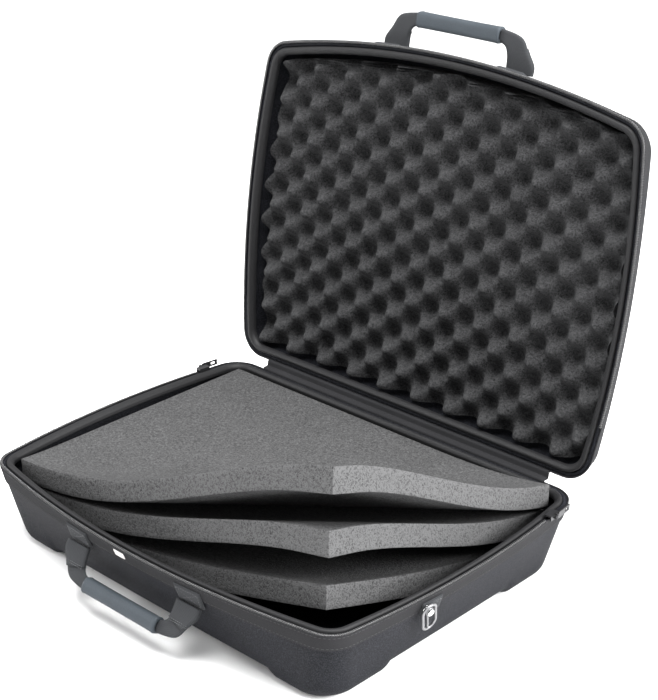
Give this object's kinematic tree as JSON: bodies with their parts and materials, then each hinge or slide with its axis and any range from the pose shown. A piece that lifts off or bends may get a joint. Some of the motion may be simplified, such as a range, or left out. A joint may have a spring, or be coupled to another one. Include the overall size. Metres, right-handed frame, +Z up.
{
  "type": "miniature carry case",
  "caption": "Zip-around moulded carry case, lid open, with loose foam sheets, convoluted lid foam, grip handles and strap rings.",
  "frame": {"origin": "middle of the base on the plane of its feet", "axes": "+Z up, -Y towards the front wall that carries the handle, +X along the hinge to the right"},
  "size_m": [0.5186, 0.4906, 0.4995],
  "materials": {
    "shell_fabric": "matt woven laminate",
    "tape_fabric": "matt woven tape",
    "zip_teeth": "coil",
    "binding_fabric": "soft satin",
    "egg_crate_foam": "open-cell foam",
    "sheet_foam": "open-cell foam",
    "grip_wrap": "smooth wrap",
    "webbing": "woven webbing",
    "rivet_metal": "bright",
    "ring_metal": "satin",
    "slider_metal": "black",
    "label_fabric": "plain woven"
  },
  "bodies": {
    "base": {"base_shell": "shell_fabric", "base_zip_tape": "tape_fabric", "base_zip_chain": "zip_teeth", "base_binding": "binding_fabric", "base_hinge_tape": "tape_fabric", "base_label": "label_fabric", "base_floor_pad": "shell_fabric", "base_handle_tab_left": "webbing", "base_handle_tab_right": "webbing", "left_ring_tab": "webbing", "right_ring_tab": "webbing", "left_ring_rivet": "rivet_metal", "right_ring_rivet": "rivet_metal"},
    "lid": {"lid_shell": "shell_fabric", "lid_zip_tape": "tape_fabric", "lid_zip_chain": "zip_teeth", "lid_binding": "binding_fabric", "lid_hinge_tape": "tape_fabric", "lid_egg_crate_foam": "egg_crate_foam", "lid_handle_tab_left": "webbing", "lid_handle_tab_right": "webbing"},
    "bottom_sheet": {"bottom_sheet": "sheet_foam"},
    "bottom_sheet_corner": {"bottom_sheet_corner": "sheet_foam"},
    "middle_sheet": {"middle_sheet": "sheet_foam"},
    "middle_sheet_corner": {"middle_sheet_corner": "sheet_foam"},
    "top_sheet": {"top_sheet": "sheet_foam"},
    "top_sheet_corner": {"top_sheet_corner": "sheet_foam"},
    "base_handle": {"base_handle_strap": "webbing", "base_handle_grip": "grip_wrap"},
    "lid_handle": {"lid_handle_strap": "webbing", "lid_handle_grip": "grip_wrap"},
    "left_ring": {"left_strap_ring": "ring_metal"},
    "right_ring": {"right_strap_ring": "ring_metal"},
    "left_slider": {"left_zip_slider": "slider_metal"},
    "right_slider": {"right_zip_slider": "slider_metal"},
    "left_pull": {"left_zip_pull": "slider_metal"},
    "right_pull": {"right_zip_pull": "slider_metal"}
  },
  "joints": [
    {"name": "lid_hinge", "type": "hinge", "parent": "base", "child": "lid", "pos_m": [0, 0.1826, 0.088], "axis": [-1, 0, 0], "range_deg": [-98.4, 0]},
    {"name": "bottom_sheet_lift", "type": "slide", "parent": "base", "child": "bottom_sheet", "axis": [0, 0, 1], "range_m": [0, 0.09]},
    {"name": "middle_sheet_lift", "type": "slide", "parent": "bottom_sheet", "child": "middle_sheet", "axis": [0, 0, 1], "range_m": [0, 0.09]},
    {"name": "top_sheet_lift", "type": "slide", "parent": "middle_sheet", "child": "top_sheet", "axis": [0, 0, 1], "range_m": [0, 0.09]},
    {"name": "bottom_sheet_corner_bend", "type": "hinge", "parent": "bottom_sheet", "child": "bottom_sheet_corner", "pos_m": [-0.04199, 0.0483, 0.0373], "axis": [-0.7547, -0.6561, 0], "range_deg": [-15, 0]},
    {"name": "middle_sheet_corner_bend", "type": "hinge", "parent": "middle_sheet", "child": "middle_sheet_corner", "pos_m": [-0.04724, 0.05434, 0.0616], "axis": [-0.7547, -0.6561, 0], "range_deg": [-18.4, 0]},
    {"name": "top_sheet_corner_bend", "type": "hinge", "parent": "top_sheet", "child": "top_sheet_corner", "pos_m": [-0.05248, 0.06038, 0.0859], "axis": [-0.7547, -0.6561, 0], "range_deg": [-23.8, 0]},
    {"name": "base_handle_swing", "type": "hinge", "parent": "base", "child": "base_handle", "pos_m": [0, -0.19557, 0.0597], "axis": [-1, 0, 0], "range_deg": [0, 100]},
    {"name": "lid_handle_swing", "type": "hinge", "parent": "lid", "child": "lid_handle", "pos_m": [0, 0.25801, 0.4597], "axis": [1, 0, 0], "range_deg": [-45, 34]},
    {"name": "right_ring_swing", "type": "hinge", "parent": "base", "child": "right_ring", "pos_m": [0.25161, -0.0659, 0.072], "axis": [0.9515, -0.0527, -0.3031], "range_deg": [-60, 60]},
    {"name": "right_slider_travel", "type": "hinge", "parent": "base", "child": "right_slider", "pos_m": [-0.78503, 0, 0.088], "axis": [0, 0, -1], "range_deg": [0, 13.5]},
    {"name": "right_pull_swing", "type": "hinge", "parent": "right_slider", "child": "right_pull", "pos_m": [0.25252, 0.12561, 0.088], "axis": [0, 0, -1], "range_deg": [0, 150]},
    {"name": "left_ring_swing", "type": "hinge", "parent": "base", "child": "left_ring", "pos_m": [-0.25161, -0.0659, 0.072], "axis": [0.9515, 0.0527, 0.3031], "range_deg": [-60, 60]},
    {"name": "left_slider_travel", "type": "hinge", "parent": "base", "child": "left_slider", "pos_m": [0.78503, 0, 0.088], "axis": [0, 0, 1], "range_deg": [0, 13.5]},
    {"name": "left_pull_swing", "type": "hinge", "parent": "left_slider", "child": "left_pull", "pos_m": [-0.25252, 0.12561, 0.088], "axis": [0, 0, 1], "range_deg": [0, 150]}
  ],
  "couplings": [
    {"joint": "bottom_sheet_corner_bend", "follows": "lid_hinge", "ratio": 0.15244},
    {"joint": "middle_sheet_corner_bend", "follows": "lid_hinge", "ratio": 0.18699},
    {"joint": "top_sheet_corner_bend", "follows": "lid_hinge", "ratio": 0.24187}
  ]
}
